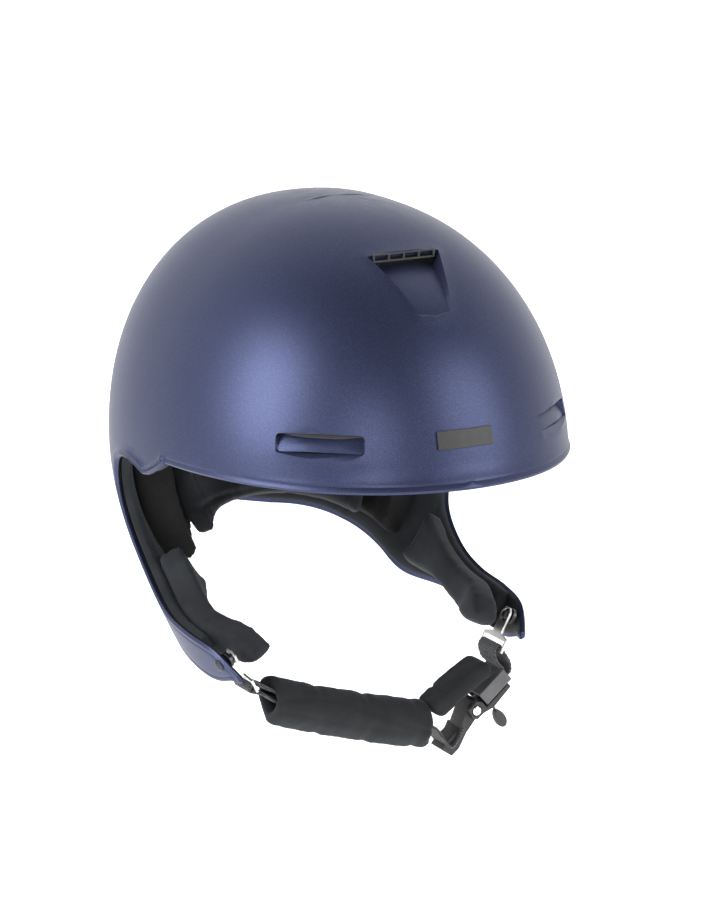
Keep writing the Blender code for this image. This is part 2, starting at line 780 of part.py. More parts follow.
def build_left_webbing(body):
    """Webbing loop from the left hanger down to the buckle's housing."""
    bar = flat(bar_spot(1))
    foot = buckle(HOUSING_END + 0.0030, -0.0016)
    way = (foot - bar).normalized()
    loop = loop_path(bar, way, WEBBING_PLAY)
    side = Vector((-way.y, way.x))
    first = foot - side * 0.0012
    last = foot + side * 0.0030 + way * 0.0006
    path = [first] + loop + [last]
    strap_prism("webbing_left", band(path, WEBBING_WALL), WEBBING_WIDTH, WEBBING, body)


def build_housing(body):
    outline = buckle_box(HOUSING_START, HOUSING_END, HOUSING_IN, HOUSING_OUT)
    housing = strap_prism("buckle_housing", outline, BUCKLE_WIDTH, GREY_PLASTIC, body)
    room = buckle_box(HOUSING_START - 0.004, HOUSING_END - HOUSING_WALL, HOUSING_IN + HOUSING_WALL,
                      HOUSING_OUT + 0.004)
    cavity = strap_prism("housing_cavity", room, BUCKLE_WIDTH - 2 * HOUSING_WALL, None, body)
    cut(housing, cavity)


def build_tongue(body):
    """Male half: a base plate under the housing, two cheeks round the pin, and a foot under the webbing."""
    base_in = HOUSING_OUT + GAP
    outline = [buckle(-0.0042, 0.0018), buckle(-0.0030, -0.0036), buckle(0.0030, -0.0038),
               buckle(HOUSING_START - 0.0012, -0.0012), buckle(HOUSING_START - 0.0012, base_in),
               buckle(BASE_END, base_in), buckle(BASE_END, base_in + BASE_WALL * 0.7),
               buckle(0.0080, base_in + BASE_WALL), buckle(0.0020, 0.0040), buckle(-0.0024, 0.0038)]
    tongue = strap_prism("buckle_tongue", outline, BUCKLE_WIDTH, BLACK_PLASTIC, body)
    eye = strap_prism("tongue_eye", round_outline(PIN_SPOT, PIN_RADIUS + GAP), 2 * BUCKLE_WIDTH, None, body)
    arm_room = buckle_box(-0.010, PIN_RADIUS + EYE_WALL + 2 * GAP, -0.010, 0.010)
    room = strap_prism("arm_room", arm_room, BUCKLE_WIDTH - 2 * CHEEK_WALL, None, body)
    slider_hole = buckle_box(SLIDER_ALONG - SLIDER_HALF - GAP, SLIDER_ALONG + SLIDER_HALF + GAP, 0.0, 0.010)
    hole = strap_prism("slider_hole", slider_hole, SLIDER_WIDTH + 2 * GAP, None, body)
    cut(tongue, eye, room, hole)
    lug = buckle_box(HOUSING_START + 0.0065, HOUSING_END - HOUSING_WALL - 0.0012, HOUSING_IN + HOUSING_WALL
                     + GAP, base_in - GAP)
    strap_prism("buckle_magnet", lug, BUCKLE_WIDTH - 2 * HOUSING_WALL - 0.0014, STEEL, body)
    pin = [(0.0, BUCKLE_WIDTH / 2 + 0.0008), (PIN_RADIUS, BUCKLE_WIDTH / 2 + 0.0004),
           (PIN_RADIUS, -BUCKLE_WIDTH / 2 - 0.0004), (0.0, -BUCKLE_WIDTH / 2 - 0.0008)]
    turned("buckle_pin", pin, (PIN_SPOT.x, STRAP_Y, PIN_SPOT.y), (0, -1, 0), BRIGHT_STEEL, body)


def build_lever(body):
    """Clamping lever: an eye on the pin, an arm and the block that presses on the webbing."""
    way = (FOOT_SPOT - PIN_SPOT).normalized()
    side = Vector((-way.y, way.x))
    knee = PIN_SPOT + way * 0.0120 + side * 0.0012
    eye_radius = PIN_RADIUS + EYE_WALL + GAP
    facing = math.atan2(way.y, way.x)
    eye = round_outline(PIN_SPOT, eye_radius, facing + math.pi / 2, facing + 3 * math.pi / 2, 10)
    half = ARM_WALL / 2
    far = FOOT_SPOT + way * 0.0042
    outline = eye + [PIN_SPOT - side * eye_radius, knee - side * half, FOOT_SPOT - side * 0.0040,
                     far - side * 0.0040, far + side * 0.0032, FOOT_SPOT + side * 0.0046 - way * 0.001,
                     knee + side * half, PIN_SPOT + side * eye_radius * 0.98 + way * 0.0008]
    width = BUCKLE_WIDTH - 2 * CHEEK_WALL - 2 * GAP
    lever = strap_prism("cam_lever", outline, width, GREY_PLASTIC, body)
    hole = strap_prism("lever_eye", round_outline(PIN_SPOT, PIN_RADIUS + GAP), 2 * width, None, body)
    cut(lever, hole)


def build_release(slider_body, tab_body):
    """Release slider, with the cord and drop-shaped tab that pull it outward."""
    inner = HOUSING_OUT + 2 * GAP
    outline = buckle_box(SLIDER_ALONG - SLIDER_HALF, SLIDER_ALONG + SLIDER_HALF, inner, inner + 0.0052)
    strap_prism("release_slider", outline, SLIDER_WIDTH, GREY_PLASTIC, slider_body)
    start = pull_spot() + PULL_WAY * 0.0002
    end = start + PULL_WAY * CORD_LENGTH
    rod("pull_cord", [Vector((start.x, STRAP_Y, start.y)), Vector((end.x, STRAP_Y, end.y))], CORD_RADIUS,
        WEBBING, tab_body)
    side = Vector((-PULL_WAY.y, PULL_WAY.x))
    outline = []
    for step in range(16):
        turn = 2 * math.pi * step / 16
        along = TAB_LENGTH / 2 * (1 - math.cos(turn))
        width = TAB_WIDTH / 2 * math.sin(turn) * (0.72 + 0.28 * (1 - math.cos(turn)) / 2)
        outline.append(end + PULL_WAY * (along + GAP) + side * width)
    strap_prism("pull_tab", outline, TAB_WALL, RUBBER, tab_body)


def pull_spot():
    """Where the pull cord leaves the slider."""
    return buckle(SLIDER_ALONG, HOUSING_OUT + 2 * GAP + 0.0052 + GAP)


def build_backing(body):
    path = smooth_line(BACKING_PATH, 8)
    strap_prism("buckle_backing_pad", band(path, BACKING_WALL), BACKING_WIDTH, FABRIC, body)


clear_scene()
PARTS = new_collection("water_helmet")
CUTTERS = new_collection("cutters")

PAINT = material("violet_paint", (0.075, 0.090, 0.190), 0.38, 0.55)
FOAM = material("foam", (0.035, 0.035, 0.038), 0.85)
FABRIC = material("pad_fabric", (0.020, 0.022, 0.026), 0.92)
WEBBING = material("webbing", (0.018, 0.018, 0.020), 0.80)
BLACK_PLASTIC = material("black_plastic", (0.015, 0.015, 0.017), 0.50)
GREY_PLASTIC = material("grey_plastic", (0.075, 0.075, 0.082), 0.42)
RUBBER = material("rubber", (0.020, 0.020, 0.020), 0.60)
STEEL = material("steel", (0.62, 0.62, 0.60), 0.30, 1.0)
BRIGHT_STEEL = material("bright_steel", (0.85, 0.85, 0.84), 0.15, 1.0)
DARK_METAL = material("dark_metal", (0.060, 0.060, 0.065), 0.35, 0.8)

HELMET = new_empty("helmet", place=(0, 0, -SEAT_HEIGHT))
RIVET_AXIS = rivet_spot(1, HANGER_INSET + HANGER_WALL / 2)
HANGER_RIGHT = new_empty("hanger_right", HELMET, (0, STRAP_Y, RIVET_AXIS.z))
HANGER_LEFT = new_empty("hanger_left", HELMET, (0, STRAP_Y, RIVET_AXIS.z))
STRAP_RIGHT = new_empty("strap_right", HELMET, bar_spot(-1))
STRAP_LEFT = new_empty("strap_left", HELMET, bar_spot(1))
LEVER = new_empty("lever", HELMET, (PIN_SPOT.x, STRAP_Y, PIN_SPOT.y))
SLIDER = new_empty("slider", HELMET, (PIN_SPOT.x, STRAP_Y, PIN_SPOT.y))
PULL = new_empty("pull", HELMET, (pull_spot().x, STRAP_Y, pull_spot().y))

build_shell()
build_vents()
build_liner()
build_badge()
build_pads()
build_flaps()
for hand, name in ((1, "left"), (-1, "right")):
    build_rivet(hand, name)
    cut(bpy.data.objects["outer_shell"], rivet_hole(hand, name))
build_hanger(1, "left", HANGER_LEFT)
build_hanger(-1, "right", HANGER_RIGHT)
build_right_webbing(STRAP_RIGHT)
build_sleeve(STRAP_RIGHT)
build_tongue(STRAP_RIGHT)
build_lever(LEVER)
build_release(SLIDER, PULL)
build_left_webbing(STRAP_LEFT)
build_housing(STRAP_LEFT)
build_backing(STRAP_LEFT)
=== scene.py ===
"""Looks of the water helmet: painted shell, fabric pads, strap and buckle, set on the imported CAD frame."""
import math

import bmesh
import bpy
import numpy as np
from mathutils import Matrix, Vector, noise as field
from mathutils.geometry import delaunay_2d_cdt


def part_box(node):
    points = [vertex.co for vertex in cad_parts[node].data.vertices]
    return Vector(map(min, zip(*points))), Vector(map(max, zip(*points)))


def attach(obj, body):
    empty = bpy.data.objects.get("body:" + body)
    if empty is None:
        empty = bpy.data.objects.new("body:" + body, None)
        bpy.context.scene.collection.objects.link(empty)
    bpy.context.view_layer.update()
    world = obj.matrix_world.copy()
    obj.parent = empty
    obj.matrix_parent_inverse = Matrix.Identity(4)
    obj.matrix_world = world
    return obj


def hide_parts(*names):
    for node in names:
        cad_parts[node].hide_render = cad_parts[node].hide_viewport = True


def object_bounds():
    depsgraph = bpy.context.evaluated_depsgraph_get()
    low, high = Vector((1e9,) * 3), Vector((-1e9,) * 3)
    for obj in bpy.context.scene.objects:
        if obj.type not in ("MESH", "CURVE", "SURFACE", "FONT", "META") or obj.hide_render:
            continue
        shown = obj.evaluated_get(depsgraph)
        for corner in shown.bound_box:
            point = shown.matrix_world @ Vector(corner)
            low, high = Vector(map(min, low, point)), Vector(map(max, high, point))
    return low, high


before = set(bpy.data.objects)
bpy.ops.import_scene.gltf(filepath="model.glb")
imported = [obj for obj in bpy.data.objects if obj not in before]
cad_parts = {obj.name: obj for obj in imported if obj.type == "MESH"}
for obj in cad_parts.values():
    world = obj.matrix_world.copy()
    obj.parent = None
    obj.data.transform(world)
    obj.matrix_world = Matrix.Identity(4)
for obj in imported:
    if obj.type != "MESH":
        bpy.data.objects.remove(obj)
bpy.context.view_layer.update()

# Dome, as in the CAD model: metres, heights from the brow datum.
HALF_WIDTH = 0.106
FRONT_LENGTH = 0.1337
BACK_LENGTH = 0.1227
CROWN_HEIGHT = 0.1448
PLAN_POWER = 2.167
FRONT_POWER = 2.144
SIDE_POWER = 2.048
BACK_POWER = 2.384
FRONT_WIDEST = 0.0061
SIDE_WIDEST = 0.0236
FRONT_TUCK = 0.176
BACK_TUCK = 0.120
TUCK_FROM = 0.080
TUCK_TO = -0.033
SKIRT_HEIGHT = -0.088
SEAT_HEIGHT = CROWN_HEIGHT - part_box("outer_shell")[1][2]
SHELL_WALL = 0.0030
FLARE = 0.0070
FLARE_TOP = 0.0380
FLARE_BOTTOM = 0.0265
FLARE_SPAN = math.radians(80)
FLARE_FALL = 0.0110
BRIM_EDGE = [(-0.160, 0.0278), (-0.115, 0.0272), (-0.060, 0.0264), (-0.022, 0.0256)]
ARCH_EDGE = [(-0.0155, 0.0212), (-0.0030, 0.0159), (0.0080, 0.0178), (0.0200, 0.0190), (0.0350, 0.0145),
             (0.0430, 0.0000), (0.0440, -0.0140), (0.0385, -0.0340), (0.0226, -0.0500), (0.0040, -0.0585),
             (-0.0200, -0.0620), (-0.0400, -0.0655), (-0.0545, -0.0755)]
LOWER_EDGE = [(-0.0475, -0.0800), (-0.0300, -0.0838), (0.0000, -0.0780), (0.0200, -0.0720), (0.0400, -0.0675),
              (0.0600, -0.0575), (0.0800, -0.0480), (0.1000, -0.0400), (0.1200, -0.0360), (0.1500, -0.0350)]
SLOT_ANGLE = math.radians(32.2)
SLOT_HALF_SPAN = math.radians(10.0)
SLOT_BOTTOM = 0.0452
SLOT_TOP = 0.0543
SCOOP_REAR_HALF = 0.0195
SCOOP_FRONT_HALF = 0.0092
SCOOP_REAR = -0.0665
SCOOP_FRONT = -0.0985
STRAP_Y = -0.0410

FRONT = -math.pi / 2
BACK = math.pi / 2


def clamp(value, low=0.0, high=1.0):
    return min(max(value, low), high)


def smooth(value):
    share = clamp(value)
    return share * share * (3 - 2 * share)


def bump_at(value, middle, half):
    """Smooth hump, 1 at the middle and 0 a half width away."""
    return smooth(1 - abs(value - middle) / half)


# Shape of the dome.

def plan_radius(theta):
    length = FRONT_LENGTH if math.sin(theta) < 0 else BACK_LENGTH
    across = (abs(math.cos(theta)) / HALF_WIDTH) ** PLAN_POWER
    along = (abs(math.sin(theta)) / length) ** PLAN_POWER
    return (across + along) ** (-1 / PLAN_POWER)


def widest_height(theta):
    front = max(-math.sin(theta), 0.0) ** 2
    return FRONT_WIDEST * front + SIDE_WIDEST * (1 - front)


def dome_power(theta):
    front = max(-math.sin(theta), 0.0) ** 2
    back = max(math.sin(theta), 0.0) ** 2
    return FRONT_POWER * front + BACK_POWER * back + SIDE_POWER * (1 - front - back)


def tuck_length(theta):
    reach = plan_radius(theta) * math.sin(theta)
    return BACK_TUCK + (FRONT_TUCK - BACK_TUCK) * smooth((TUCK_FROM - reach) / (TUCK_FROM - TUCK_TO))


def level_of(theta, height):
    """Level of a height: 1 at the crown, 0 at the widest line, -1 at the skirt."""
    widest = widest_height(theta)
    if height < widest:
        return (height - widest) / (widest - SKIRT_HEIGHT)
    share = clamp((height - widest) / (CROWN_HEIGHT - widest))
    return math.asin(share ** (dome_power(theta) / 2)) / (math.pi / 2)


def outside(theta, level):
    widest = widest_height(theta)
    if level >= 0:
        power = 2 / dome_power(theta)
        share = max(math.cos(level * math.pi / 2), 0.0) ** power
        height = widest + (CROWN_HEIGHT - widest) * math.sin(level * math.pi / 2) ** power
    else:
        height = widest + level * (widest - SKIRT_HEIGHT)
        share = math.sqrt(1 - ((widest - height) / tuck_length(theta)) ** 2)
    radius = plan_radius(theta) * share
    return Vector((radius * math.cos(theta), radius * math.sin(theta), height))


def outward(theta, level):
    if level > 0.985:
        return Vector((0, 0, 1))
    step = 1e-3
    round_way = outside(theta + step, level) - outside(theta - step, level)
    up_way = outside(theta, level + step) - outside(theta, level - step)
    return round_way.cross(up_way).normalized()


def at_depth(theta, level, depth):
    return outside(theta, level) - outward(theta, level) * depth


def flare(theta, height):
    turn = abs((theta + 1.5 * math.pi) % (2 * math.pi) - math.pi)
    reach = FLARE * clamp(1 - turn / FLARE_SPAN) ** 1.6
    top = FLARE_TOP - FLARE_FALL * clamp(turn / FLARE_SPAN)
    return reach * clamp((top - height) / (top - FLARE_BOTTOM + 0.002)) ** 1.4


def theta_at(y, height, side):
    low = FRONT
    high = BACK
    for _ in range(40):
        middle = (low + high) / 2
        if outside(middle, level_of(middle, height)).y < y:
            low = middle
        else:
            high = middle
    return low if side > 0 else math.pi - low


def beside(y, height, side, depth):
    theta = theta_at(y, height, side)
    return at_depth(theta, level_of(theta, height), depth)


def through(points, share):
    """Point at a share of the way along a smooth curve through the points."""
    spans = len(points) - 1
    place = clamp(share) * spans
    first = min(int(place), spans - 1)
    t = place - first
    a = Vector(points[max(first - 1, 0)])
    b = Vector(points[first])
    c = Vector(points[first + 1])
    d = Vector(points[min(first + 2, spans)])
    square = (2 * a - 5 * b + 4 * c - d) * t * t
    cube = (3 * b - 3 * c + d - a) * t ** 3
    return 0.5 * (2 * b + (c - a) * t + square + cube)


def smooth_line(points, count):
    return [through(points, step / count) for step in range(count + 1)]


def lowered(spot):
    """A point with its height from the brow datum, put in the frame's own axes."""
    return Vector((spot[0], spot[1], spot[2] - SEAT_HEIGHT))


# Materials.

def material(name, colour, roughness, metallic=0.0, **extra):
    made = bpy.data.materials.new(name)
    made.use_nodes = True
    shader = made.node_tree.nodes["Principled BSDF"]
    shader.inputs["Base Color"].default_value = (*colour, 1)
    shader.inputs["Roughness"].default_value = roughness
    shader.inputs["Metallic"].default_value = metallic
    for socket, value in extra.items():
        shader.inputs[socket.replace("_", " ")].default_value = value
    return made


def node(made, kind, **settings):
    new = made.node_tree.nodes.new(kind)
    for key, value in settings.items():
        if key in new.inputs:
            new.inputs[key].default_value = value
        else:
            setattr(new, key, value)
    return new


def link(made, source, output, target, socket):
    made.node_tree.links.new(source.outputs[output], target.inputs[socket])


def position(made, scale=(1, 1, 1)):
    """Object coordinates, stretched by a scale."""
    place = node(made, "ShaderNodeTexCoord")
    spread = node(made, "ShaderNodeMapping")
    spread.inputs["Scale"].default_value = scale
    link(made, place, "Object", spread, "Vector")
    return spread


def noise(made, scale, detail=2.0, stretch=(1, 1, 1)):
    grain = node(made, "ShaderNodeTexNoise", Scale=scale, Detail=detail)
    link(made, position(made, stretch), "Vector", grain, "Vector")
    return grain


def wave(made, scale, direction, distortion=0.0, stretch=(1, 1, 1)):
    ribs = node(made, "ShaderNodeTexWave", Scale=scale, Distortion=distortion)
    ribs.bands_direction = direction
    link(made, position(made, stretch), "Vector", ribs, "Vector")
    return ribs


def ramp(made, source, output, stops):
    colours = node(made, "ShaderNodeValToRGB")
    colours.color_ramp.elements[0].position = stops[0][0]
    colours.color_ramp.elements[0].color = (*stops[0][1], 1)
    colours.color_ramp.elements[1].position = stops[-1][0]
    colours.color_ramp.elements[1].color = (*stops[-1][1], 1)
    for place, colour in stops[1:-1]:
        extra = colours.color_ramp.elements.new(place)
        extra.color = (*colour, 1)
    link(made, source, output, colours, "Fac")
    return colours


def spread_roughness(made, source, output, low, high):
    change = node(made, "ShaderNodeMapRange")
    change.inputs["To Min"].default_value = low
    change.inputs["To Max"].default_value = high
    link(made, source, output, change, "Value")
    link(made, change, "Result", made.node_tree.nodes["Principled BSDF"], "Roughness")


def relief(made, layers):
    """Bump from several height sources, as (node, output, strength, distance)."""
    before = None
    for source, output, strength, distance in layers:
        bump = node(made, "ShaderNodeBump", Strength=strength, Distance=distance)
        link(made, source, output, bump, "Height")
        if before:
            link(made, before, "Normal", bump, "Normal")
        before = bump
    link(made, before, "Normal", made.node_tree.nodes["Principled BSDF"], "Normal")


def paint_material():
    """Satin metallic paint: fine flake in the colour, a little orange peel and uneven sheen."""
    made = material("violet_paint", (0.028, 0.035, 0.078), 0.43, 0.72, Sheen_Weight=0.03, Sheen_Roughness=0.5,
                    Sheen_Tint=(0.62, 0.60, 0.72, 1), Coat_Weight=0.04, Coat_Roughness=0.38)
    flake = noise(made, 2600, 1.0)
    tint = ramp(made, flake, "Fac", [(0.30, (0.023, 0.028, 0.066)), (0.55, (0.031, 0.039, 0.090)),
                                     (0.78, (0.052, 0.068, 0.140))])
    link(made, tint, "Color", made.node_tree.nodes["Principled BSDF"], "Base Color")
    patches = noise(made, 14, 3.0)
    spread_roughness(made, patches, "Fac", 0.40, 0.46)
    relief(made, [(flake, "Fac", 0.05, 0.0002), (noise(made, 420, 2.0), "Fac", 0.03, 0.0003)])
    return made


def fabric_material(name, colour, high, thread=900):
    """Knitted neoprene facing: crossed fine ribs, worn lighter on the high threads."""
    made = material(name, colour, 0.90, 0.0, Sheen_Weight=0.08, Sheen_Roughness=0.45,
                    Sheen_Tint=(0.55, 0.62, 0.74, 1), Specular_IOR_Level=0.25)
    across = wave(made, thread, "X", 1.4)
    along = wave(made, thread, "Z", 1.4)
    wear = noise(made, 55, 5.0)
    tint = ramp(made, wear, "Fac", [(0.30, colour), (0.75, high)])
    link(made, tint, "Color", made.node_tree.nodes["Principled BSDF"], "Base Color")
    spread_roughness(made, wear, "Fac", 0.82, 0.96)
    pile = noise(made, 120, 4.0)
    relief(made, [(across, "Fac", 0.22, 0.0002), (along, "Fac", 0.22, 0.0002), (pile, "Fac", 0.30, 0.0006)])
    return made


def webbing_material():
    """Woven webbing: close ribs across its width and a diagonal weave in two shades, with a soft sheen all
    over.
    """
    made = material("webbing_weave", (0.020, 0.020, 0.023), 0.78, 0.0, Sheen_Weight=0.20, Sheen_Roughness=0.4,
                    Sheen_Tint=(0.75, 0.77, 0.82, 1))
    ribs = wave(made, 420, "Y", 1.0)
    cross = wave(made, 300, "DIAGONAL", 1.5)
    tint = ramp(made, cross, "Fac", [(0.2, (0.014, 0.014, 0.016)), (0.8, (0.048, 0.048, 0.053))])
    link(made, tint, "Color", made.node_tree.nodes["Principled BSDF"], "Base Color")
    relief(made, [(ribs, "Fac", 0.45, 0.0003), (cross, "Fac", 0.35, 0.0003)])
    return made


def plastic_material(name, colour, edge, roughness):
    """Moulded plastic: fine spark-eroded grain, handling marks a shade lighter."""
    made = material(name, colour, roughness, 0.0, Specular_IOR_Level=0.5)
    marks = noise(made, 160, 5.0)
    tint = ramp(made, marks, "Fac", [(0.35, colour), (0.72, edge)])
    link(made, tint, "Color", made.node_tree.nodes["Principled BSDF"], "Base Color")
    spread_roughness(made, marks, "Fac", roughness - 0.07, roughness + 0.08)
    relief(made, [(noise(made, 2200, 2.0), "Fac", 0.12, 0.0002)])
    return made


def metal_material(name, colour, roughness, brushed=(1, 1, 1)):
    made = material(name, colour, roughness, 1.0)
    grain = noise(made, 900, 4.0, brushed)
    spread_roughness(made, grain, "Fac", roughness - 0.06, roughness + 0.10)
    relief(made, [(grain, "Fac", 0.06, 0.0002)])
    return made


def foam_material():
    made = material("closed_foam", (0.010, 0.010, 0.011), 0.92, 0.0, Specular_IOR_Level=0.2)
    beads = node(made, "ShaderNodeTexVoronoi", Scale=330.0)
    link(made, position(made), "Vector", beads, "Vector")
    relief(made, [(beads, "Distance", 0.35, 0.0006)])
    return made


PAINT = paint_material()
FABRIC = fabric_material("pad_knit", (0.011, 0.012, 0.014), (0.026, 0.029, 0.034))
SLEEVE_FABRIC = fabric_material("sleeve_neoprene", (0.008, 0.009, 0.010), (0.018, 0.020, 0.022), 1200)
WEBBING = webbing_material()
BLACK = plastic_material("black_moulding", (0.010, 0.010, 0.011), (0.022, 0.022, 0.024), 0.50)
GREY = plastic_material("grey_moulding", (0.060, 0.060, 0.066), (0.095, 0.095, 0.102), 0.42)
RUBBER = plastic_material("rubber_pull", (0.020, 0.020, 0.021), (0.034, 0.034, 0.035), 0.60)
STEEL = metal_material("satin_steel", (0.70, 0.70, 0.67), 0.30, (1, 8, 1))
BRIGHT = metal_material("bright_steel", (0.86, 0.86, 0.85), 0.14)
DARK_METAL = metal_material("dark_rivet", (0.060, 0.062, 0.070), 0.34)
FOAM = foam_material()


# Meshes.

def finish_mesh(name, work, weld=2e-5):
    bmesh.ops.remove_doubles(work, verts=work.verts, dist=weld)
    bmesh.ops.dissolve_degenerate(work, edges=work.edges, dist=1e-7)
    mesh = bpy.data.meshes.new(name)
    work.to_mesh(mesh)
    work.free()
    return mesh


def new_piece(name, mesh, finish, body, sharp=40):
    """Piece in the helmet's own heights, riding on a body, with its mesh lowered into the frame's axes."""
    piece = bpy.data.objects.new(name, mesh)
    bpy.context.scene.collection.objects.link(piece)
    mesh.transform(Matrix.Translation((0, 0, -SEAT_HEIGHT)))
    mesh.materials.append(finish)
    mesh.shade_smooth()
    mesh.set_sharp_from_angle(angle=math.radians(sharp))
    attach(piece, body)
    return piece


def applied(piece):
    """The piece with its modifiers made part of its mesh."""
    bpy.context.view_layer.update()
    graph = bpy.context.evaluated_depsgraph_get()
    mesh = bpy.data.meshes.new_from_object(piece.evaluated_get(graph))
    piece.modifiers.clear()
    piece.data = mesh
    return piece


# Shell: its surface is triangulated on a flat sheet, arc length round the plan by height, then bent to shape.

UP_SCALE = 0.200
GRID = 0.0030
EDGE_STEPS = (0.0005, 0.0011, 0.0017, 0.0023, 0.0029, 0.0035, 0.0043, 0.0052)
ARC_STEPS = 720


def arc_table():
    angles = [FRONT + math.pi * step / ARC_STEPS for step in range(ARC_STEPS + 1)]
    total = [0.0]
    for before, after in zip(angles, angles[1:]):
        total.append(total[-1] + (outside(after, 0.0) - outside(before, 0.0)).length)
    return np.array(angles), np.array(total)


ANGLES, ARCS = arc_table()


def to_flat(theta, height):
    level = level_of(theta, height)
    scale = UP_SCALE if level > 0 else widest_height(theta) - SKIRT_HEIGHT
    return Vector((float(np.interp(theta, ANGLES, ARCS)), level * scale))


def from_flat(spot):
    theta = float(np.interp(spot[0], ARCS, ANGLES))
    scale = UP_SCALE if spot[1] > 0 else widest_height(theta) - SKIRT_HEIGHT
    return theta, clamp(spot[1] / scale, -1.0, 1.0)


def side_flat(spot):
    theta = theta_at(spot[0], spot[1], 1)
    return to_flat(theta, spot[1])


def plan_flat(x, y):
    """Flat place of the point of the dome above a plan position."""
    theta = math.atan2(y, x)
    low = 0.0
    high = 1.0
    for _ in range(40):
        middle = (low + high) / 2
        spot = outside(theta, middle)
        if math.hypot(spot.x, spot.y) > math.hypot(x, y):
            low = middle
        else:
            high = middle
    return Vector((float(np.interp(theta, ANGLES, ARCS)), low * UP_SCALE))


def rim_line():
    """The left half of the shell's edge on the flat sheet, from the front round to the back."""
    brim = []
    corner = theta_at(BRIM_EDGE[-1][0], BRIM_EDGE[-1][1], 1)
    for step in range(60):
        theta = FRONT + (corner - FRONT) * step / 60
        y = outside(theta, level_of(theta, 0.027)).y
        height = float(np.interp(y, [p[0] for p in BRIM_EDGE], [p[1] for p in BRIM_EDGE]))
        brim.append(to_flat(theta, height))
    arch = [side_flat(spot) for spot in smooth_line([BRIM_EDGE[-1]] + ARCH_EDGE, 150)]
    tip = [side_flat(spot) for spot in smooth_line([ARCH_EDGE[-1], (-0.0553, -0.0782), (-0.0530, -0.0798),
                                                    LOWER_EDGE[0]], 12)][1:-1]
    reach = outside(BACK, level_of(BACK, LOWER_EDGE[-3][1])).y
    lower = [side_flat(spot) for spot in smooth_line(LOWER_EDGE, 160) if spot[0] < reach - 0.0003]
    return brim + arch + tip + lower + [to_flat(BACK, LOWER_EDGE[-2][1])], len(brim), len(brim) + len(arch)


RIM, ARCH_FIRST, ARCH_LAST = rim_line()


def rounded(corners, radius, steps=5):
    """Closed outline through corners, each rounded by an arc-like curve."""
    points = []
    count = len(corners)
    for index, corner in enumerate(corners):
        before = (corners[index - 1] - corner).normalized() * radius
        after = (corners[(index + 1) % count] - corner).normalized() * radius
        for step in range(steps + 1):
            t = step / steps
            points.append(corner + before * (1 - t) ** 2 + after * t ** 2)
    return points


def inset_line(line, step, closed):
    """A line moved to its left by a step."""
    moved = []
    count = len(line)
    for index, spot in enumerate(line):
        before = line[index - 1] if closed or index else spot
        after = line[(index + 1) % count] if closed or index < count - 1 else spot
        way = (after - before).normalized()
        moved.append(spot + Vector((-way.y, way.x)) * step)
    return moved


def slot_outline(grow):
    first = FRONT + SLOT_ANGLE - SLOT_HALF_SPAN
    last = FRONT + SLOT_ANGLE + SLOT_HALF_SPAN
    low = [to_flat(first, SLOT_BOTTOM), to_flat(last, SLOT_BOTTOM - 0.0012)]
    high = [to_flat(last, SLOT_TOP - 0.0012), to_flat(first, SLOT_TOP)]
    outline = rounded([low[0], low[1], high[0], high[1]], 0.0026)
    return inset_line(outline, grow, True)


def scoop_corners(grow):
    """Half of the scoop's outline in plan, from the middle of its rear edge round to its front."""
    rear = SCOOP_REAR + grow
    front = SCOOP_FRONT - grow
    return [(0.0, rear - 0.0010), (SCOOP_REAR_HALF + grow, rear), (SCOOP_FRONT_HALF + grow, front),
            (0.0, front - 0.0012)]


def scoop_outline(grow):
    corners = scoop_corners(grow)
    line = []
    for before, after, steps in zip(corners, corners[1:], (12, 22, 6)):
        for step in range(steps):
            share = step / steps
            x = before[0] + (after[0] - before[0]) * share
            y = before[1] + (after[1] - before[1]) * share
            line.append(plan_flat(max(x, 1e-6), y))
    return line + [plan_flat(1e-6, corners[-1][1])]


def near_line(points, line, closed=False):
    """Distance of each point to a line, and how far along the line (as an index) its nearest place is."""
    a = np.array([tuple(spot) for spot in line])
    b = np.roll(a, -1, axis=0) if closed else a[1:]
    a = a if closed else a[:-1]
    way = b - a
    length = (way ** 2).sum(1) + 1e-18
    best = np.full(len(points), 1e9)
    place = np.zeros(len(points))
    for index in range(len(a)):
        share = np.clip(((points - a[index]) @ way[index]) / length[index], 0, 1)
        away = np.hypot(*(points - a[index] - share[:, None] * way[index]).T)
        nearer = away < best
        best[nearer] = away[nearer]
        place[nearer] = index + share[nearer]
    return best, place


def inside_line(points, line):
    """Whether each point is inside a closed line."""
    a = np.array([tuple(spot) for spot in line])
    b = np.roll(a, -1, axis=0)
    inside = np.zeros(len(points), bool)
    for (ax, ay), (bx, by) in zip(a, b):
        crosses = (ay > points[:, 1]) != (by > points[:, 1])
        at = ax + (points[:, 1] - ay) * (bx - ax) / ((by - ay) if by != ay else 1e-12)
        inside ^= crosses & (points[:, 0] < at)
    return inside


def sheet_points(outline, lines):
    """Grid points inside the outline, thinned towards the crown and kept clear of the lines."""
    points = []
    rows = int((UP_SCALE + 0.12) / GRID)
    for row in range(rows):
        y = -0.115 + GRID * (row + 0.5)
        if y > UP_SCALE * 0.985:
            break
        squeeze = max(math.cos(clamp(y / UP_SCALE) * math.pi / 2), 0.03)
        count = max(int(ARCS[-1] * squeeze / GRID), 6)
        for column in range(1, count):
            points.append((ARCS[-1] * (column + 0.5 * (row % 2) - 0.25) / count, y))
    points = np.array(points)
    points = points[inside_line(points, outline)]
    for line, closed, room in lines:
        away, _ = near_line(points, line, closed)
        points = points[away > room]
    return points


def scoop_depth(y):
    """How far the scoop's floor lies under the shell at a plan place."""
    run = clamp((y - SCOOP_FRONT) / (SCOOP_REAR - SCOOP_FRONT))
    return 0.0006 + 0.0066 * run ** 1.35


def slot_depth(height):
    """Scooped floor of a slot: shallow at its lower rim and deep under its top edge."""
    return 0.0012 + 0.0030 * smooth((height - SLOT_BOTTOM) / (SLOT_TOP - SLOT_BOTTOM))


